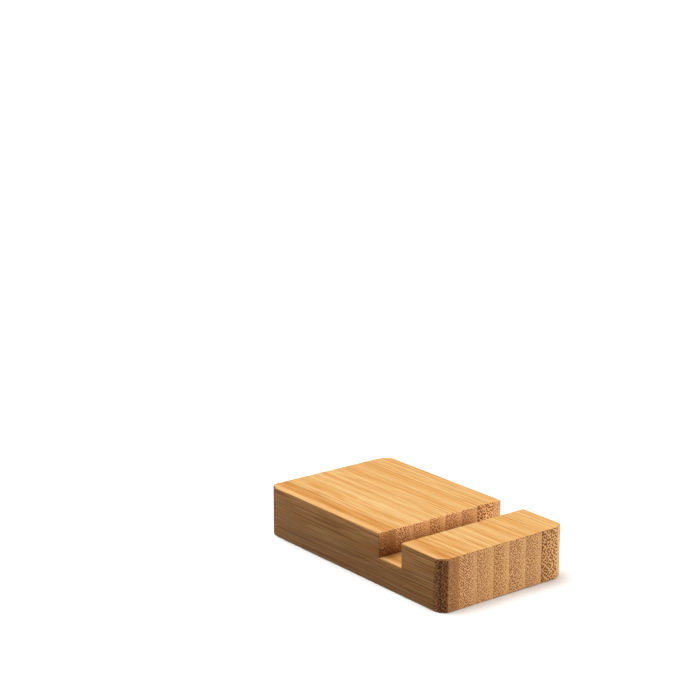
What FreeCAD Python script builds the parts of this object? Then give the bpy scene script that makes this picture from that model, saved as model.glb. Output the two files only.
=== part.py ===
import FreeCAD, Part
import os

# Tablet stand: one rectangular block of vertically laminated bamboo with a straight slot
# across its top. The strips stand on edge side by side and their grain runs front to back.
#
# Frame: millimetres, +Z up, the front of the stand faces -Y, +X is the viewer's right.
# The origin is the middle of the underside, on the surface that the stand rests on.

# ---- driving dimensions ----
BLOCK_WIDTH = 57.0       # left to right, along X
BLOCK_DEPTH = 100.0      # front to back, along Y
BLOCK_HEIGHT = 19.3      # the thickness of the board that the block is cut from
LIP_DEPTH = 21.8         # solid wood in front of the slot
SLOT_WIDTH = 12.0        # front to back, with upright walls
SLOT_DEPTH = 9.0         # down from the top face
EDGE_EASING = 0.5        # sanded radius along the top and bottom edges of the block
SLOT_EASING = 0.3        # sanded radius along the two top edges of the slot

# Each upright corner is taken off in two flats that meet at a ridge. The wide flat starts
# on the end face and the narrow one runs out on the side face. The wide flat is larger and the
# narrow one smaller on the right corners.
LEFT_CUT_ON_END = 2.6        # from the side of the block to where the wide flat starts
LEFT_RIDGE_FROM_SIDE = 0.7
LEFT_RIDGE_FROM_END = 1.65
LEFT_CUT_ON_SIDE = 4.0       # from the end of the block to where the narrow flat runs out
RIGHT_CUT_ON_END = 4.0
RIGHT_RIDGE_FROM_SIDE = 0.45
RIGHT_RIDGE_FROM_END = 2.25
RIGHT_CUT_ON_SIDE = 3.2

# Thickness of each bamboo strip, from the left side of the block to the right.
# The two outer strips were cut down when the block was trimmed to its width.
STRIP_THICKNESSES = [2.6, 4.8, 8.1, 7.6, 7.2, 7.7, 7.5, 7.7, 3.8]

# ---- places worked out from them ----
HALF_WIDTH = BLOCK_WIDTH / 2
HALF_DEPTH = BLOCK_DEPTH / 2
SLOT_FRONT_Y = -HALF_DEPTH + LIP_DEPTH
SLOT_BACK_Y = SLOT_FRONT_Y + SLOT_WIDTH
SLOT_FLOOR_Z = BLOCK_HEIGHT - SLOT_DEPTH
TOOL_MARGIN = 5.0        # how far a cutting solid runs past the block
LEVEL_TOLERANCE = 1e-6

X_DIRECTION = FreeCAD.Vector(1, 0, 0)
Z_DIRECTION = FreeCAD.Vector(0, 0, 1)


def plan_outline():
    """Corner points of the block seen from above, going round it from the back right."""
    back_right = [
        (HALF_WIDTH - RIGHT_CUT_ON_END, HALF_DEPTH),
        (HALF_WIDTH - RIGHT_RIDGE_FROM_SIDE, HALF_DEPTH - RIGHT_RIDGE_FROM_END),
        (HALF_WIDTH, HALF_DEPTH - RIGHT_CUT_ON_SIDE),
    ]
    back_left = [
        (-HALF_WIDTH, HALF_DEPTH - LEFT_CUT_ON_SIDE),
        (-HALF_WIDTH + LEFT_RIDGE_FROM_SIDE, HALF_DEPTH - LEFT_RIDGE_FROM_END),
        (-HALF_WIDTH + LEFT_CUT_ON_END, HALF_DEPTH),
    ]
    front_right = [(x, -y) for x, y in reversed(back_right)]
    front_left = [(x, -y) for x, y in reversed(back_left)]
    return back_right + front_right + front_left + back_left


def lies_level(edge, height):
    """True when every part of the edge lies at this height."""
    box = edge.BoundBox
    return abs(box.ZMin - height) < LEVEL_TOLERANCE and abs(box.ZMax - height) < LEVEL_TOLERANCE


def block_without_slot():
    """The trimmed block: two flats on each corner, eased top and bottom edges."""
    points = [FreeCAD.Vector(x, y, 0) for x, y in plan_outline()]
    outline = Part.makePolygon(points + points[:1])
    block = Part.Face(outline).extrude(Z_DIRECTION * BLOCK_HEIGHT)
    rim_edges = [edge for edge in block.Edges if lies_level(edge, 0) or lies_level(edge, BLOCK_HEIGHT)]
    return block.makeFillet(EDGE_EASING, rim_edges)


def slot_cutter():
    """The slot as a solid bar along X, flared at the top so that it leaves eased edges."""
    top_z = BLOCK_HEIGHT
    easing_start_z = top_z - SLOT_EASING
    above_z = top_z + TOOL_MARGIN
    left_x = -HALF_WIDTH - TOOL_MARGIN
    front_flare_y = SLOT_FRONT_Y - SLOT_EASING
    back_flare_y = SLOT_BACK_Y + SLOT_EASING
    sagitta = SLOT_EASING * (1 - 0.5 ** 0.5)

    def point(y, z):
        return FreeCAD.Vector(left_x, y, z)

    def line(start, end):
        return Part.LineSegment(start, end).toShape()

    floor_front = point(SLOT_FRONT_Y, SLOT_FLOOR_Z)
    floor_back = point(SLOT_BACK_Y, SLOT_FLOOR_Z)
    wall_front = point(SLOT_FRONT_Y, easing_start_z)
    wall_back = point(SLOT_BACK_Y, easing_start_z)
    brim_front = point(front_flare_y, top_z)
    brim_back = point(back_flare_y, top_z)
    middle_front = point(SLOT_FRONT_Y - sagitta, top_z - sagitta)
    middle_back = point(SLOT_BACK_Y + sagitta, top_z - sagitta)
    outline = Part.Wire([
        line(floor_front, wall_front),
        Part.Arc(wall_front, middle_front, brim_front).toShape(),
        line(brim_front, point(front_flare_y, above_z)),
        line(point(front_flare_y, above_z), point(back_flare_y, above_z)),
        line(point(back_flare_y, above_z), brim_back),
        Part.Arc(brim_back, middle_back, wall_back).toShape(),
        line(wall_back, floor_back),
        line(floor_back, floor_front),
    ])
    return Part.Face(outline).extrude(X_DIRECTION * (BLOCK_WIDTH + 2 * TOOL_MARGIN))


def slab(left_x, thickness):
    """A slice of space across X, larger than the block in Y and Z."""
    corner = FreeCAD.Vector(left_x, -HALF_DEPTH - TOOL_MARGIN, -TOOL_MARGIN)
    depth = BLOCK_DEPTH + 2 * TOOL_MARGIN
    height = BLOCK_HEIGHT + 2 * TOOL_MARGIN
    return Part.makeBox(thickness, depth, height, corner)


def bamboo_strips(block):
    """The strips that the block is glued up from, left to right, touching face to face."""
    strips = []
    left_x = -HALF_WIDTH
    for thickness in STRIP_THICKNESSES:
        strips.append(block.common(slab(left_x, thickness)).Solids[0])
        left_x += thickness
    return strips


def main():
    os.makedirs("parts", exist_ok=True)
    block = block_without_slot().cut(slot_cutter())
    for number, strip in enumerate(bamboo_strips(block), start=1):
        strip.exportStep(f"parts/bamboo_strip_{number}.step")
        print(f"bamboo_strip_{number}: {strip.Volume / 1000:.2f} cm3, valid {strip.isValid()}")
    print(f"strips add up to {sum(STRIP_THICKNESSES):.1f} mm of {BLOCK_WIDTH} mm")


main()
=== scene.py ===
import math
from collections import namedtuple

import bmesh
import bpy
import numpy as np
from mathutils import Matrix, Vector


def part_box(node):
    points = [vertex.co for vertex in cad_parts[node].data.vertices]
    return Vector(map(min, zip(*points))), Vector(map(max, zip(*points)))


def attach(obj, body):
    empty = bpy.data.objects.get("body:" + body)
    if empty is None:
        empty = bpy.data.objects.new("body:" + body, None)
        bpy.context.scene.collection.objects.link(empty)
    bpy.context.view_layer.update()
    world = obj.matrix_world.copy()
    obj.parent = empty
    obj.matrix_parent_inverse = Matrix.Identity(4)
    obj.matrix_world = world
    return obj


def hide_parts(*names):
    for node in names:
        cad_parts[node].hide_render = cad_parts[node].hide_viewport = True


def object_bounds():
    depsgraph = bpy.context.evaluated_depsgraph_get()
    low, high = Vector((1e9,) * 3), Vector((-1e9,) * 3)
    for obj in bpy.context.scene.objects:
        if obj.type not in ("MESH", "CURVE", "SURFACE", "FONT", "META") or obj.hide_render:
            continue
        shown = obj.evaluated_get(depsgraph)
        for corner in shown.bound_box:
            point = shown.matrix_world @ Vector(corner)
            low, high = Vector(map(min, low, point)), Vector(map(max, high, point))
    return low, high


# A tablet stand: nine strips of bamboo glued side by side into one block, with a slot across
# its top. Each strip is rebuilt here as its own closed mesh with sanded edges, and gets a wood
# material whose fibres run through the strip from front to back, so that the dots of the end
# grain and the streaks on top are two views of the same fibres.
#
# Lengths are in millimetres until a mesh or an object is made. MM turns them into metres.

MM = 0.001
TINY = 0.01                  # millimetres, for telling places apart

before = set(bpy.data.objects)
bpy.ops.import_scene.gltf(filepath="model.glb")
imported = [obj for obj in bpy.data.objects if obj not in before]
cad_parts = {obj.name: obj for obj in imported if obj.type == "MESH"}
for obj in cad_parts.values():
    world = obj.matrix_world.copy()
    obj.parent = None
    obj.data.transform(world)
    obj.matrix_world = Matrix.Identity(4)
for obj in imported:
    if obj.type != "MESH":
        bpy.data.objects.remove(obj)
cad_low, cad_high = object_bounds()

# ---- the block ----
HALF_WIDTH = cad_high.x / MM
HALF_DEPTH = cad_high.y / MM
HEIGHT = cad_high.z / MM
LIP_DEPTH = 21.8
SLOT_WIDTH = 12.0
SLOT_DEPTH = 9.0
SLOT_FRONT = -HALF_DEPTH + LIP_DEPTH
SLOT_BACK = SLOT_FRONT + SLOT_WIDTH
SLOT_FLOOR = HEIGHT - SLOT_DEPTH

# Each upright corner is taken off in two flats that meet at a ridge. The wide flat starts on the
# end face and the narrow one runs out on the side face. The wide flat is larger and the narrow
# one smaller on the right corners.
Corner = namedtuple("Corner", "cut_on_end ridge_from_side ridge_from_end cut_on_side")
LEFT_CORNER = Corner(cut_on_end=2.6, ridge_from_side=0.7, ridge_from_end=1.65, cut_on_side=4.0)
RIGHT_CORNER = Corner(cut_on_end=4.0, ridge_from_side=0.45, ridge_from_end=2.25, cut_on_side=3.2)
ARRIS_SOFTNESS = 0.2         # how far the sandpaper has blended one flat into the next

EDGE_EASING = 0.5            # radius along the top and bottom edges
SLOT_EASING = 0.3            # radius along the slot's edges
GLUE_LINE_EASING = 0.05      # the hairline groove along each glue line
EASING_UNEVENNESS = 0.22     # hand sanding: the radius varies by this share
SANDING_WAVES = 0.02         # height of the slow waves that sanding leaves
CUTTER_MARKS = 0.02          # height of the cutter's marks in the slot
FLAT_WANDER = 0.45           # how far the side edge of a narrow corner flat wanders
FLAT_WANDER_LENGTH = 14.0    # down from the top, from its furthest out to its furthest in
FLAT_WANDER_REACH = 6.0      # from the end face, past where the narrow flat runs out

# ---- mesh resolution ----
EASING_POINTS = 6
END_FACE_POINTS = 70
SLOT_WALL_POINTS = 32
SLOT_FLOOR_POINTS = 40
LIP_TOP_POINTS = 18
REAR_TOP_POINTS = 50
UNDERSIDE_POINTS = 60
ACROSS_STEP = 0.26
CORNER_STEP = 0.12           # finer steps where the corner flats are


def add_object(name, data):
    """A new object in the scene that shows this mesh, light or camera."""
    thing = bpy.data.objects.new(name, data)
    bpy.context.scene.collection.objects.link(thing)
    return thing


# ---------------------------------------------------------------- the shape of a strip

def smooth_max(first, second, softness):
    """The larger of two values, with the crease between them rounded over the given span."""
    overlap = max(softness - abs(first - second), 0.0) / softness
    return max(first, second) + overlap ** 2 * softness / 4


def corner_cut(x):
    """How far the end face is set back at this place across the block, for its two flats."""
    corner = LEFT_CORNER if x < 0 else RIGHT_CORNER
    from_side = HALF_WIDTH - abs(x)
    wide_rise = corner.ridge_from_end / (corner.cut_on_end - corner.ridge_from_side)
    wide_flat = wide_rise * (corner.cut_on_end - from_side)
    narrow_rise = (corner.cut_on_side - corner.ridge_from_end) / corner.ridge_from_side
    narrow_flat = corner.ridge_from_end + narrow_rise * (corner.ridge_from_side - from_side)
    return smooth_max(smooth_max(0.0, wide_flat, ARRIS_SOFTNESS), narrow_flat, ARRIS_SOFTNESS)


def corner_stretch(x):
    """How much longer an edge easing is along Y than square to the outline, at a corner flat."""
    reach = 0.02
    slope = (corner_cut(x) - corner_cut(x - math.copysign(reach, x))) / reach
    return math.sqrt(1 + slope ** 2)


def easing_inset(distance, radius):
    """How far a rounded edge of this radius lies inside the sharp one, this far from it."""
    if distance >= radius:
        return 0.0
    return radius - math.sqrt(radius ** 2 - (radius - distance) ** 2)


def uneven(radius, x, phase):
    """A sanded radius that varies slowly along its edge."""
    wave = 0.6 * math.sin(0.9 * x + phase) + 0.4 * math.sin(2.3 * x + 2.0 * phase)
    return radius * (1 + EASING_UNEVENNESS * wave)


def run(start, end, count):
    """Evenly spaced points from start up to, but not including, end."""
    start, end = np.array(start), np.array(end)
    share = np.arange(count)[:, None] / count
    return start + (end - start) * share


def rounded(start, corner, end):
    """A quarter of an ellipse that leaves start towards the corner and arrives at end."""
    start, corner, end = np.array(start), np.array(corner), np.array(end)
    centre = start + end - corner
    angle = np.linspace(0, math.pi / 2, EASING_POINTS, endpoint=False)[:, None]
    return centre + (start - centre) * np.cos(angle) + (end - centre) * np.sin(angle)


def section(x, inset, slot_inset):
    """The outline of the block at this place across it, as rows of y and z.

    It runs from the front bottom edge up the front, back over the lip, through the slot, over
    the rear, down the back and home along the underside. The insets draw it in at a strip's
    rounded left and right edges.
    """
    front = -HALF_DEPTH + corner_cut(x) + inset
    back = HALF_DEPTH - corner_cut(x) - inset
    low, high, floor = inset, HEIGHT - inset, SLOT_FLOOR - slot_inset
    slot_front, slot_back = SLOT_FRONT - slot_inset, SLOT_BACK + slot_inset
    front_top = uneven(EDGE_EASING, x, phase=0.4)
    back_top = uneven(EDGE_EASING, x, phase=2.1)
    under = uneven(EDGE_EASING, x, phase=4.4)
    lip = uneven(SLOT_EASING, x, phase=1.3)
    rear = uneven(SLOT_EASING, x, phase=3.2)
    stretch = corner_stretch(x)
    front_edge_end = front + front_top * stretch
    back_edge_start = back - back_top * stretch
    under_front = front + under * stretch
    under_back = back - under * stretch
    return np.concatenate([
        rounded((under_front, low), (front, low), (front, low + under)),
        run((front, low + under), (front, high - front_top), END_FACE_POINTS),
        rounded((front, high - front_top), (front, high), (front_edge_end, high)),
        run((front_edge_end, high), (slot_front - lip, high), LIP_TOP_POINTS),
        rounded((slot_front - lip, high), (slot_front, high), (slot_front, high - lip)),
        run((slot_front, high - lip), (slot_front, floor), SLOT_WALL_POINTS),
        run((slot_front, floor), (slot_back, floor), SLOT_FLOOR_POINTS),
        run((slot_back, floor), (slot_back, high - rear), SLOT_WALL_POINTS),
        rounded((slot_back, high - rear), (slot_back, high), (slot_back + rear, high)),
        run((slot_back + rear, high), (back_edge_start, high), REAR_TOP_POINTS),
        rounded((back_edge_start, high), (back, high), (back, high - back_top)),
        run((back, high - back_top), (back, low + under), END_FACE_POINTS),
        rounded((back, low + under), (back, low), (under_back, low)),
        run((under_back, low), (under_front, low), UNDERSIDE_POINTS),
    ])


def stations(left, right, left_radius, right_radius, step):
    """Places across a strip where its outline is taken, each with that outline's two insets."""
    angles = np.linspace(0, math.pi / 2, EASING_POINTS, endpoint=False)
    left_end = left + left_radius * (1 - np.cos(angles))
    right_end = right - right_radius * (1 - np.cos(angles[::-1]))
    count = max(2, round((right - left) / step))
    middle = np.linspace(left + left_radius, right - right_radius, count)
    places = np.concatenate([left_end, middle, right_end])

    def inset(x, widest):
        at_left = easing_inset(x - left, min(left_radius, widest))
        return max(at_left, easing_inset(right - x, min(right_radius, widest)))

    return [(x, inset(x, EDGE_EASING), inset(x, SLOT_EASING)) for x in places]


def flat_wander(x, y, z):
    """How far out the side edges of the narrow corner flats lie, at these points."""
    beside_corner = np.clip(1 - (HALF_WIDTH - np.abs(x)) / LEFT_CORNER.ridge_from_side, 0, 1)
    beside_corner = np.where(np.abs(y) > HALF_DEPTH - FLAT_WANDER_REACH, beside_corner, 0.0)
    off_top_and_bottom = np.clip((HEIGHT - z) / 2, 0, 1) * np.clip(z / 2, 0, 1)
    wave = np.cos((HEIGHT - z) * math.pi / FLAT_WANDER_LENGTH)
    return FLAT_WANDER * wave * beside_corner * off_top_and_bottom


def relief(points):
    """Small departures from flat, square to the surface: sanding waves and the cutter's marks.

    The underside stays flat, as the block stands on it.
    """
    x, y, z = points.T
    waves = (np.sin(0.55 * x + 0.13 * y + 0.9) * np.sin(0.41 * z + 0.07 * y)
             + 0.6 * np.sin(1.35 * x + 0.31 * z + 0.05 * y + 2.0)) * np.clip(z, 0, 1)
    in_slot = (y > SLOT_FRONT - TINY) & (y < SLOT_BACK + TINY) & (z > SLOT_FLOOR - TINY)
    marks = np.sin(5.1 * y + 0.4 * np.sin(0.8 * x)) + 0.5 * np.sin(4.3 * x + 0.35 * z ** 2)
    return np.where(in_slot, CUTTER_MARKS * marks, SANDING_WAVES * waves + flat_wander(x, y, z))


def closed_skin(slices):
    """Outlines taken across a strip, joined into one closed skin."""
    outlines = [section(*slice_here) for slice_here in slices]
    skin = bmesh.new()
    rows = []
    for (x, _, _), outline in zip(slices, outlines):
        rows.append([skin.verts.new((x, y, z)) for y, z in outline])
    for here, there in zip(rows, rows[1:]):
        for i in range(len(here)):
            j = (i + 1) % len(here)
            skin.faces.new((here[i], here[j], there[j], there[i]))
    skin.faces.new(rows[0][::-1])
    skin.faces.new(rows[-1])
    bmesh.ops.recalc_face_normals(skin, faces=skin.faces)
    skin.normal_update()
    return skin


def strip_mesh(name, left, right):
    """One strip as a closed mesh in metres, with its relief."""
    on_left_side = left < -HALF_WIDTH + TINY
    on_right_side = right > HALF_WIDTH - TINY
    step = ACROSS_STEP if corner_cut(left) == corner_cut(right) == 0.0 else CORNER_STEP
    skin = closed_skin(stations(
        left, right,
        EDGE_EASING if on_left_side else GLUE_LINE_EASING,
        EDGE_EASING if on_right_side else GLUE_LINE_EASING,
        step,
    ))
    points = np.array([vert.co for vert in skin.verts])
    for vert, height in zip(skin.verts, relief(points)):
        outward = vert.normal.copy()
        outward.x = 0.0
        if outward.length > 0:
            outward.normalize()
        vert.co = (vert.co + outward * height) * MM
    mesh = bpy.data.meshes.new(name)
    skin.to_mesh(mesh)
    skin.free()
    mesh.polygons.foreach_set("use_smooth", [True] * len(mesh.polygons))
    mesh.set_sharp_from_angle(angle=math.radians(35))
    return mesh


# ---------------------------------------------------------------- material building blocks

def put(tree, socket, value):
    """Links an output to a socket, or sets the socket's own value."""
    if isinstance(value, bpy.types.NodeSocket):
        tree.links.new(value, socket)
    else:
        socket.default_value = value


def calc(tree, operation, *values):
    """One arithmetic step."""
    node = tree.nodes.new("ShaderNodeMath")
    node.operation = operation
    for socket, value in zip(node.inputs, values):
        put(tree, socket, value)
    return node.outputs[0]


def swell(tree, value, low, high):
    """0 below low, 1 above high and a smooth climb between; low may be the larger one."""
    node = tree.nodes.new("ShaderNodeMapRange")
    node.interpolation_type = "SMOOTHSTEP"
    put(tree, node.inputs["Value"], value)
    put(tree, node.inputs["From Min"], low)
    put(tree, node.inputs["From Max"], high)
    return node.outputs[0]


def mixed(tree, share, first, second, mode="MIX"):
    """Two colours mixed by a share."""
    node = tree.nodes.new("ShaderNodeMix")
    node.data_type = "RGBA"
    node.blend_type = mode
    put(tree, node.inputs["Factor"], share)
    put(tree, node.inputs[6], first)
    put(tree, node.inputs[7], second)
    return node.outputs[2]


def tinted(tree, share, colour, tint):
    """A colour multiplied by a tint, to the extent of the share."""
    return mixed(tree, share, colour, tint, "MULTIPLY")


def packed(tree, x, y, z):
    """Three numbers as one vector."""
    node = tree.nodes.new("ShaderNodeCombineXYZ")
    for socket, value in zip(node.inputs, (x, y, z)):
        put(tree, socket, value)
    return node.outputs[0]


def parts_of(tree, vector):
    """The three numbers of a vector."""
    node = tree.nodes.new("ShaderNodeSeparateXYZ")
    put(tree, node.inputs[0], vector)
    return node.outputs


def stretched(tree, vector, scale, offset=(0, 0, 0)):
    """A vector scaled along each axis and then moved."""
    node = tree.nodes.new("ShaderNodeVectorMath")
    node.operation = "MULTIPLY_ADD"
    put(tree, node.inputs[0], vector)
    put(tree, node.inputs[1], scale)
    put(tree, node.inputs[2], offset)
    return node.outputs[0]


def noise(tree, vector, detail=2.0, roughness=0.5):
    """Cloudy noise of about one feature per unit of the vector."""
    node = tree.nodes.new("ShaderNodeTexNoise")
    put(tree, node.inputs["Vector"], vector)
    node.inputs["Scale"].default_value = 1.0
    node.inputs["Detail"].default_value = detail
    node.inputs["Roughness"].default_value = roughness
    return node


def srgb(red, green, blue):
    """A colour given in screen values of 0 to 255, as linear light."""
    def linear(value):
        value = value / 255
        return value / 12.92 if value <= 0.04045 else ((value + 0.055) / 1.055) ** 2.4
    return (linear(red), linear(green), linear(blue), 1.0)


# ---------------------------------------------------------------- bamboo

# What differs between the strips. Each has been cut from the bamboo's wall with its dense outer
# side towards the left, so the end grain mostly goes from dark on the left to light on the right.
# Colours are in screen values of 0 to 255, and lengths are in millimetres.
#   ends      ground of the end grain: at the left joint, then left, right, at the right joint
#   dots      how dark the fibre bundles are against that ground, 0 is invisible
#   spacing   distance between fibre bundles
#   thickness radius of a bundle, as a share of the spacing
#   fade      where the bundles have faded out and where they start to fade, as shares of the
#             way across the strip from its left joint
#   flats     what the end grain turns to on the corner flats, if that differs; strip 9's paler flats are in part painted sheen
#   top       colour along the grain
#   bands     bands along the grain: middle and half width, from the left side of the block, and
#             strength. They are lighter, or golden if the strength is negative
USUAL_LOOK = dict(thickness=0.35, fade=(1.4, 0.38), flats=None, top=(205, 156, 91))
STRIP_LOOKS = [
    dict(
        ends=[(216, 153, 95), (214, 151, 94), (202, 140, 86), (200, 138, 85)],
        dots=2.2, spacing=0.82, fade=(4.0, 3.0), top=(209, 158, 92),
        bands=[(1.6, 1.0, 0.3)],
    ),
    dict(
        ends=[(173, 126, 84), (172, 123, 78), (170, 119, 73), (179, 130, 81)],
        dots=0.85, spacing=0.79, top=(196, 139, 71),
        bands=[(7.4, 0.5, 0.2)],
    ),
    dict(
        ends=[(208, 157, 106), (212, 161, 109), (213, 163, 112), (212, 163, 111)],
        dots=1.12, spacing=0.79,
        bands=[(10.5, 0.4, 1.0), (14.0, 0.7, -0.5), (15.1, 0.3, 0.5)],
    ),
    dict(
        ends=[(200, 150, 98), (208, 157, 105), (215, 164, 109), (216, 165, 111)],
        dots=0.9, spacing=0.79,
        bands=[(18.2, 0.9, 1.0), (21.9, 1.0, 0.7)],
    ),
    dict(
        ends=[(195, 142, 89), (207, 156, 102), (221, 170, 113), (223, 173, 118)],
        dots=1.0, spacing=0.81,
        bands=[(26.2, 0.8, 1.0), (29.9, 0.3, 0.3)],
    ),
    dict(
        ends=[(208, 157, 106), (212, 161, 110), (218, 167, 114), (222, 172, 120)],
        dots=1.08, spacing=0.79,
        bands=[(31.0, 0.4, 0.6), (33.2, 0.2, 0.6), (36.2, 1.0, -0.8)],
    ),
    dict(
        ends=[(201, 151, 100), (208, 158, 106), (215, 164, 111), (216, 166, 115)],
        dots=0.92, spacing=0.78,
        bands=[(38.8, 0.4, 0.5), (40.7, 0.4, 1.0), (43.3, 1.2, -0.7)],
    ),
    dict(
        ends=[(171, 120, 75), (205, 156, 105), (223, 174, 115), (224, 178, 122)],
        dots=1.25, spacing=1.08, thickness=0.37, fade=(2.6, 0.9),
        bands=[(47.0, 0.4, 1.0), (49.4, 0.4, 1.0), (52.6, 0.7, 1.0)],
    ),
    dict(
        ends=[(207, 158, 109), (211, 162, 113), (215, 166, 117), (217, 170, 122)],
        # strip 9's flats are a touch paler than its end grain, in part a painted sheen on the right
        # corner's wide flat
        dots=0.6, spacing=0.95, flats=(215, 167, 117),
        bands=[(54.2, 0.5, 0.4)],
    ),
]
END_STOPS = (0.0, 0.12, 0.86, 1.0)            # where across the strip the four ends colours lie

# what all strips share, in millimetres; a pair is where something has faded out and where it is full
GROUND_DRIFT = 0.8           # how far the ends colours wander sideways
SLOW_WANDER = 1.6            # how far the fibres wander sideways over the length of the block
QUICK_WANDER = 0.5           # and in shorter waves
FOOT_SHADE_HEIGHT = 8.0            # up the ends, where the painted shade at their foot fades out
EDGE_SHADE_REACH = (5.5, 5.0)      # from the end face, past the corner flats: how far the painted shade on the ends' top edge reaches
RIDGE_LINE = (0.32, 0.08)    # from the ridge of a left corner
GLUE_LINE = (0.10, 0.02)     # from a joint
BAND_SOFTNESS = (0.35, -0.2)                  # out from the edge of a band

# fibre bundles
BUNDLE_DISORDER = 0.62       # 0 is a square lattice, 1 is no order at all
BUNDLE_FLATNESS = 0.9        # spacing up the strip as a share of the spacing across it
BUNDLE_EDGE = 0.09           # half the width of a bundle's soft edge, as a share of the spacing
BUNDLE_SIZES = 0.08          # from the smallest radius to the largest, as a share of the spacing
PALEST_BUNDLE = 0.8          # as a share of the darkest
VESSEL_RADIUS = 0.17         # the open middle of a bundle, as a share of the spacing
VESSEL_PALENESS = 0.35       # how much of a bundle's darkness its open middle lacks
UNROLLING = 0.6              # how much the way back along a corner flat counts as way across

# what a colour is multiplied by
DARK_FIBRE = (0.26, 0.13, 0.07, 1)            # fibre bundles on the ends
RIDGE_TINT = (0.35, 0.28, 0.20, 1)            # the ridge of the left corners
BACK_PAINTED_WARM_LIGHT = (1.08, 0.96, 0.84, 1)             # painted warm light on the back end, standing in for warm bounce light in its shade
FOOT_PAINTED_SHADE = (0.92, 0.89, 0.87, 1)             # painted shade on the lowest part of both ends, darker towards the floor
EDGE_PAINTED_SHADE_TINT = (0.62, 0.58, 0.54, 1)       # painted shade on the rounded top edge of both ends
BROAD_DARK = (0.95, 0.87, 0.77)               # broad streaks along the grain
BROAD_LIGHT = (1.03, 1.07, 1.14)
LIGHT_BAND = (1.10, 1.26, 1.70)               # bands and threads
GOLDEN_BAND = (0.97, 0.90, 0.79)
DARK_THREAD = (0.87, 0.74, 0.56)
PALE_HAIR = (1.14, 1.34, 1.85)                # single fibres
LINE_SHADE = (0.86, 0.74, 0.57, 1)            # fibre bundles seen from the side
SIDE_TOP_TINT = (1.26, 1.14, 1.05, 1)         # the sides of the block along their top, lighter than their foot; the difference is painted shade
SIDE_FOOT_PAINTED_SHADE = (0.98, 0.86, 0.75, 1)        # the sides along their foot, darker by painted shade
SIDE_LINE_TINT = (0.58, 0.50, 0.40, 1)        # dark lines along the sides

GLUE_COLOUR = (112, 72, 38)  # in screen values

# how much of each shows, from 0 to 1
GLUE_STRENGTH = 0.25
RIDGE_STRENGTH = 0.55
GRAIN_STRENGTH = 0.30        # the finest grain, which lightens and darkens the wood

# fine relief, in millimetres
PIT_DEPTH = 0.03             # cut bundle ends
GROOVE_DEPTH = 0.012         # bundles seen from the side
RIDGE_HEIGHT = 0.012         # fine fibres


def graded(tree, value, stops):
    """A colour that runs through the given (place, colour) stops as the value grows."""
    node = tree.nodes.new("ShaderNodeValToRGB")
    put(tree, node.inputs[0], value)
    ramp = node.color_ramp
    while len(ramp.elements) < len(stops):
        ramp.elements.new(0.5)
    for element, (place, colour) in zip(ramp.elements, stops):
        element.position = place
        element.color = colour
    return node.outputs[0]


def shade(colour, red, green, blue):
    """A colour with its three parts scaled."""
    return (colour[0] * red, colour[1] * green, colour[2] * blue, 1.0)


def fibre_space(tree, position, seed):
    """Where each point lies among the fibres: its x and z, moved by how far they wander there."""
    slow = noise(tree, stretched(tree, position, (0.05, 0.014, 0.05), (seed, 3 * seed, 0)), 1.0)
    quick = noise(tree, stretched(tree, position, (0.4, 0.05, 0.4), (seed, 0, 5 * seed)), 1.0)
    wandered = stretched(tree, slow.outputs["Color"], (SLOW_WANDER, 0, SLOW_WANDER), position)
    wandered = stretched(tree, quick.outputs["Color"], (QUICK_WANDER, 0, QUICK_WANDER), wandered)
    average = (SLOW_WANDER + QUICK_WANDER) / 2
    return stretched(tree, wandered, (1, 1, 1), (-average, 0, -average))


def streaks(tree, fibre, across, along, offset, detail=1.0, roughness=0.5):
    """Noise drawn out along the fibres, with so many features to the millimetre each way."""
    place = stretched(tree, fibre, (across, along, across), offset)
    return noise(tree, place, detail, roughness).outputs["Fac"]


def fibre_bundles(tree, across, up, spacing, thickness):
    """1 inside a fibre bundle and 0 between them, with open vessels in the bundles' middles."""
    cells = tree.nodes.new("ShaderNodeTexVoronoi")
    cells.voronoi_dimensions = "2D"
    cells.feature = "F1"
    turned = tree.nodes.new("ShaderNodeVectorRotate")
    turned.rotation_type = "Z_AXIS"
    turned.inputs["Angle"].default_value = math.radians(45)
    columns = calc(tree, "DIVIDE", across, spacing)
    layers = calc(tree, "DIVIDE", up, spacing * BUNDLE_FLATNESS)
    put(tree, turned.inputs["Vector"], packed(tree, columns, layers, 0.0))
    put(tree, cells.inputs["Vector"], turned.outputs[0])
    cells.inputs["Scale"].default_value = 1.0
    cells.inputs["Randomness"].default_value = BUNDLE_DISORDER
    separate = tree.nodes.new("ShaderNodeSeparateColor")
    put(tree, separate.inputs[0], cells.outputs["Color"])
    size = calc(tree, "MULTIPLY_ADD", separate.outputs[0], BUNDLE_SIZES, -BUNDLE_SIZES / 2)
    distance = calc(tree, "SUBTRACT", cells.outputs["Distance"], size)
    bundle = swell(tree, distance, thickness + BUNDLE_EDGE, thickness - BUNDLE_EDGE)
    weight = calc(tree, "MULTIPLY_ADD", separate.outputs[1], 1 - PALEST_BUNDLE, PALEST_BUNDLE)
    vessel = calc(tree, "MULTIPLY", swell(tree, distance, VESSEL_RADIUS, 0.0), -VESSEL_PALENESS)
    return calc(tree, "MULTIPLY", calc(tree, "MULTIPLY", bundle, weight),
                calc(tree, "ADD", 1.0, vessel))


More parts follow.
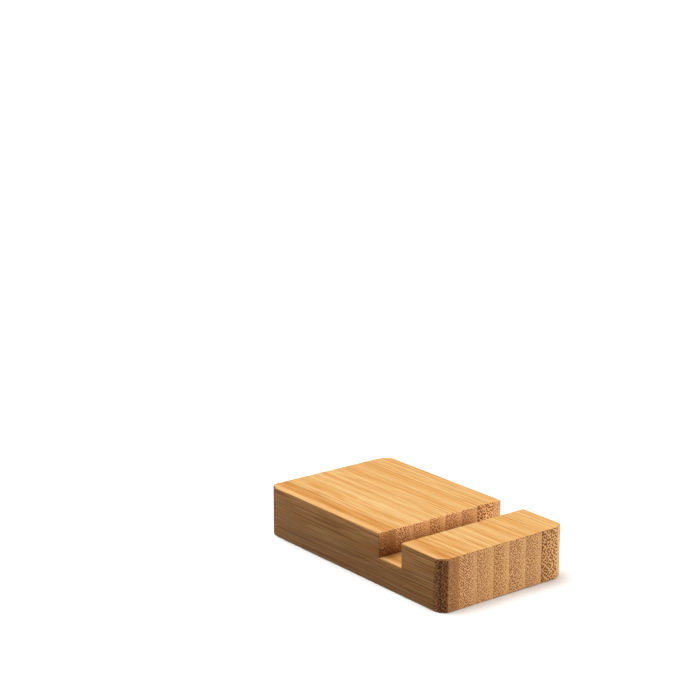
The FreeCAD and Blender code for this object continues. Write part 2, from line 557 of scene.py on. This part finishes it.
class Surface:
    """What a strip's colour and relief depend on, at each point of its surface."""

    def __init__(self, tree, left, look, seed):
        place = tree.nodes.new("ShaderNodeTexCoord").outputs["Object"]
        self.position = stretched(tree, place, (1 / MM, 1 / MM, 1 / MM))
        self.x, y, self.z = parts_of(tree, self.position)
        self.from_end = calc(tree, "SUBTRACT", HALF_DEPTH, calc(tree, "ABSOLUTE", y))

        # how far the surface faces each way, and how much of the cut fibres' ends shows:
        # 1 on the front and back, 0 on the top and sides
        normal = tree.nodes.new("ShaderNodeNewGeometry").outputs["Normal"]
        facing_right, self.facing_back, self.facing_up = parts_of(tree, normal)
        self.facing_side = calc(tree, "ABSOLUTE", facing_right)
        self.end_grain = swell(tree, calc(tree, "ABSOLUTE", self.facing_back), 0.06, 0.24)

        self.fibre = fibre_space(tree, self.position, seed)
        self.across, _, up = parts_of(tree, self.fibre)
        self.fine = streaks(tree, self.fibre, 6.0, 0.12, (0, 0, seed), 3.0, 0.65)

        # the bundles keep their spacing where the surface turns round a corner of the block
        along_flats = calc(tree, "MINIMUM", self.from_end, LEFT_CORNER.cut_on_side)
        round_corner = calc(tree, "MULTIPLY", along_flats, swell(tree, self.facing_side, 0.1, 0.5))
        unrolled = calc(tree, "MULTIPLY_ADD", round_corner, math.copysign(UNROLLING, left), self.across)
        self.bundles = fibre_bundles(tree, unrolled, up, look["spacing"], look["thickness"])


def end_colour(tree, at, left, right, look, seed):
    """The cut fibres' ends: bundles as dots, on a ground from the dense to the lighter side."""
    drift = noise(tree, stretched(tree, at.position, (0.5, 0.1, 0.3), (seed, 0, 0)))
    through = calc(tree, "SUBTRACT", at.x, left)
    through = calc(tree, "MULTIPLY_ADD", drift.outputs[0], GROUND_DRIFT, through)
    through = calc(tree, "SUBTRACT", through, GROUND_DRIFT / 2)
    through = calc(tree, "DIVIDE", through, right - left)
    stops = [(stop, srgb(*colour)) for stop, colour in zip(END_STOPS, look["ends"])]
    colour = graded(tree, through, stops)
    # the flats' own colour where a look gives one; on strip 9 this is in part a painted sheen
    if look["flats"]:
        sheen_on_flats = swell(tree, at.facing_side, 0.1, 0.4)
        colour = mixed(tree, sheen_on_flats, colour, srgb(*look["flats"]))

    darkness = calc(tree, "MULTIPLY", swell(tree, through, *look["fade"]), look["dots"])
    colour = tinted(tree, calc(tree, "MULTIPLY", at.bundles, darkness), colour, DARK_FIBRE)
    speckle = noise(tree, stretched(tree, at.position, (2.1, 0.7, 2.1), (0, seed, 0)), 3.0, 0.6)
    colour = mixed(tree, GRAIN_STRENGTH, colour, speckle.outputs["Fac"], "OVERLAY")

    off_ridge = calc(tree, "SUBTRACT", at.x, LEFT_CORNER.ridge_from_side - HALF_WIDTH)
    on_ridge = swell(tree, calc(tree, "ABSOLUTE", off_ridge), *RIDGE_LINE)
    colour = tinted(tree, calc(tree, "MULTIPLY", on_ridge, RIDGE_STRENGTH), colour, RIDGE_TINT)
    # painted warm light: the back end is tinted warmer and redder
    colour = tinted(tree, swell(tree, at.facing_back, 0.2, 0.7), colour, BACK_PAINTED_WARM_LIGHT)
    # painted shade: both ends darken towards the floor
    colour = tinted(tree, swell(tree, at.z, FOOT_SHADE_HEIGHT, 0.0), colour, FOOT_PAINTED_SHADE)

    # painted shade: the rounded edge along the top of each end is darkened where it faces up, so that
    # the light from above doesn't brighten it
    upward = swell(tree, at.facing_up, 0.2, 0.8)
    near_end = swell(tree, at.from_end, *EDGE_SHADE_REACH)
    return tinted(tree, calc(tree, "MULTIPLY", upward, near_end), colour, EDGE_PAINTED_SHADE_TINT)


def side_tint_and_painted_shade(tree, at, seed):
    """What the colour along the grain is multiplied by on the block's two sides: a tint that darkens
    towards their foot as painted shade, and dark lines along the grain.
    """
    # painted shade: the sides darken from their top down to their foot
    painted_shade_low_down = swell(tree, at.z, HEIGHT, 0.0)
    tint = mixed(tree, painted_shade_low_down, SIDE_TOP_TINT, SIDE_FOOT_PAINTED_SHADE)
    strand = streaks(tree, at.fibre, 1.9, 0.014, (seed, seed, 0), 2.0, 0.6)
    return tinted(tree, swell(tree, strand, 0.52, 0.61), tint, SIDE_LINE_TINT)


def long_colour(tree, at, look, seed):
    """The colour along the grain: streaks, bands, and the bundles seen from the side."""
    top = srgb(*look["top"])
    broad = streaks(tree, at.fibre, 0.8, 0.015, (seed, 0, 0), 2.0)
    thread = streaks(tree, at.fibre, 2.0, 0.045, (0, seed, seed))
    hair = streaks(tree, at.fibre, 3.6, 0.035, (seed, 0, seed))
    colour = mixed(tree, swell(tree, broad, 0.35, 0.65),
                   shade(top, *BROAD_DARK), shade(top, *BROAD_LIGHT))
    colour = mixed(tree, swell(tree, thread, 0.53, 0.65), colour, shade(top, *LIGHT_BAND))
    colour = mixed(tree, swell(tree, thread, 0.48, 0.36), colour, shade(top, *DARK_THREAD))
    colour = mixed(tree, swell(tree, hair, 0.58, 0.70), colour, shade(top, *PALE_HAIR))
    faded, full = BAND_SOFTNESS
    for middle, half, strength in look["bands"]:
        off_middle = calc(tree, "ABSOLUTE", calc(tree, "SUBTRACT", at.across, middle - HALF_WIDTH))
        in_band = swell(tree, off_middle, half + faded, half + full)
        band_shade = LIGHT_BAND if strength > 0 else GOLDEN_BAND
        colour = mixed(tree, calc(tree, "MULTIPLY", in_band, abs(strength)), colour,
                       shade(top, *band_shade))
    colour = tinted(tree, at.bundles, colour, LINE_SHADE)
    colour = mixed(tree, GRAIN_STRENGTH, colour, at.fine, "OVERLAY")
    return tinted(tree, swell(tree, at.facing_side, 0.5, 0.9), colour, side_tint_and_painted_shade(tree, at, seed))


def with_glue_lines(tree, at, left, right, wood):
    """The wood with the glue as a darker hairline along both of the strip's joints."""
    from_left = calc(tree, "SUBTRACT", at.x, left)
    from_right = calc(tree, "SUBTRACT", right, at.x)
    from_joint = calc(tree, "MINIMUM", from_left, from_right)
    glue = calc(tree, "MULTIPLY", swell(tree, from_joint, *GLUE_LINE), GLUE_STRENGTH)
    return mixed(tree, glue, wood, srgb(*GLUE_COLOUR))


def fine_relief(tree, at):
    """A normal for bundle ends a little below the sanded face, and long fibres as fine ridges."""
    pits = calc(tree, "MULTIPLY", calc(tree, "MULTIPLY", at.bundles, at.end_grain), -PIT_DEPTH)
    grooves = calc(tree, "MULTIPLY", at.bundles, -GROOVE_DEPTH)
    ridges = calc(tree, "MULTIPLY_ADD", at.fine, RIDGE_HEIGHT, grooves)
    bump = tree.nodes.new("ShaderNodeBump")
    bump.inputs["Strength"].default_value = 0.8
    bump.inputs["Distance"].default_value = MM
    put(tree, bump.inputs["Height"], calc(tree, "ADD", pits, ridges))
    return bump.outputs[0]


def bamboo(name, left, right, look, seed):
    """Oiled bamboo for the strip between these places across the block."""
    material = bpy.data.materials.new(name)
    material.use_nodes = True
    tree = material.node_tree
    shader = tree.nodes["Principled BSDF"]
    at = Surface(tree, left, look, seed)
    along = long_colour(tree, at, look, seed)
    wood = mixed(tree, at.end_grain, along, end_colour(tree, at, left, right, look, seed))
    put(tree, shader.inputs["Base Color"], with_glue_lines(tree, at, left, right, wood))

    # satin oil: end grain drinks it and stays duller than the long grain
    shader.inputs["Specular IOR Level"].default_value = 0.28
    dull = calc(tree, "MULTIPLY_ADD", at.end_grain, 0.14, 0.44)
    put(tree, shader.inputs["Roughness"], calc(tree, "MULTIPLY_ADD", at.fine, 0.16, dull))
    put(tree, shader.inputs["Normal"], fine_relief(tree, at))
    return material


def add_strips():
    """Every bamboo strip in place of its CAD node."""
    for number, own_look in enumerate(STRIP_LOOKS, start=1):
        node = f"bamboo_strip_{number}"
        low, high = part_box(node)
        left, right = low.x / MM, high.x / MM
        look = USUAL_LOOK | own_look
        strip = add_object(f"strip_{number}", strip_mesh(f"strip_{number}", left, right))
        strip.data.materials.append(bamboo(f"bamboo_{number}", left, right, look, 7.3 * number))
        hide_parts(node)
        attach(strip, "root")


# ---------------------------------------------------------------- the studio

FLOOR_HALF_WIDTH = 12000.0
FLOOR_DROP = 0.02                               # under the block, so that no plane is shared
BACKDROP_RADIUS = 9000.0
LENS_LENGTH = 94.08
SENSOR_WIDTH = 36.0
CAMERA_PLACE = (-402.47, -483.88, 241.77)       # millimetres
CAMERA_TURN = (75.3446, 0.0955, -37.7079)       # degrees about X, Y and Z


def plain_paint(name, colour, roughness):
    """A plain material and its shader."""
    paint = bpy.data.materials.new(name)
    paint.use_nodes = True
    shader = paint.node_tree.nodes["Principled BSDF"]
    shader.inputs["Base Color"].default_value = colour
    shader.inputs["Roughness"].default_value = roughness
    return paint, shader


def add_floor():
    """A plain pale table top."""
    half = FLOOR_HALF_WIDTH * MM
    top = -FLOOR_DROP * MM
    mesh = bpy.data.meshes.new("floor")
    corners = [(-half, -half, top), (half, -half, top), (half, half, top), (-half, half, top)]
    mesh.from_pydata(corners, [], [(0, 1, 2, 3)])
    paint, shader = plain_paint("pale_floor", (0.90, 0.90, 0.895, 1), 0.7)
    shader.inputs["Specular IOR Level"].default_value = 0.2
    mesh.materials.append(paint)
    floor = add_object("floor", mesh)
    floor.visible_diffuse = False


def add_backdrop():
    """A plain pale surround that only the camera sees, for views near the horizon."""
    mesh = bpy.data.meshes.new("backdrop")
    dome = bmesh.new()
    bmesh.ops.create_icosphere(dome, subdivisions=4, radius=BACKDROP_RADIUS * MM)
    dome.to_mesh(mesh)
    dome.free()
    paint, shader = plain_paint("pale_backdrop", (0, 0, 0, 1), 1.0)
    shader.inputs["Emission Color"].default_value = (1, 1, 1, 1)
    shader.inputs["Emission Strength"].default_value = 0.97
    mesh.materials.append(paint)
    backdrop = add_object("backdrop", mesh)
    backdrop.visible_diffuse = False
    backdrop.visible_glossy = False
    backdrop.visible_shadow = False


def add_sun(name, strength, softness, azimuth, elevation, colour=(1, 1, 1)):
    """A soft even light from far away. Azimuth is turned from straight in front to the right.

    Returns the light's object.
    """
    light = bpy.data.lights.new(name, "SUN")
    light.energy = strength
    light.angle = math.radians(softness)
    light.color = colour
    sun = add_object(name, light)
    sun.rotation_euler = (math.radians(90 - elevation), 0, math.radians(azimuth))
    return sun


def add_light():
    """A broad light overhead, a key light from the front right and a little fill all round."""
    add_sun("overhead", strength=3.95, softness=50, azimuth=-150, elevation=72)
    key = add_sun("key", strength=4.50, softness=30, azimuth=45, elevation=12, colour=(1.0, 0.99, 0.97))
    key.visible_glossy = False     # so low a light would burn out the top, seen from behind
    world = bpy.data.worlds.new("surround")
    world.use_nodes = True
    background = world.node_tree.nodes["Background"]
    background.inputs["Color"].default_value = (1, 1, 1, 1)
    background.inputs["Strength"].default_value = 0.06
    bpy.context.scene.world = world


def add_camera():
    """A long lens from the front left, a little above the stand."""
    lens = bpy.data.cameras.new("camera")
    lens.sensor_width = SENSOR_WIDTH
    lens.lens = LENS_LENGTH
    lens.clip_start = 10 * MM
    lens.clip_end = 50000 * MM
    camera = add_object("camera", lens)
    camera.location = [place * MM for place in CAMERA_PLACE]
    camera.rotation_euler = [math.radians(turn) for turn in CAMERA_TURN]
    bpy.context.scene.camera = camera


add_camera()
add_light()
add_floor()
add_backdrop()
add_strips()
bpy.context.scene.view_settings.view_transform = "Standard"
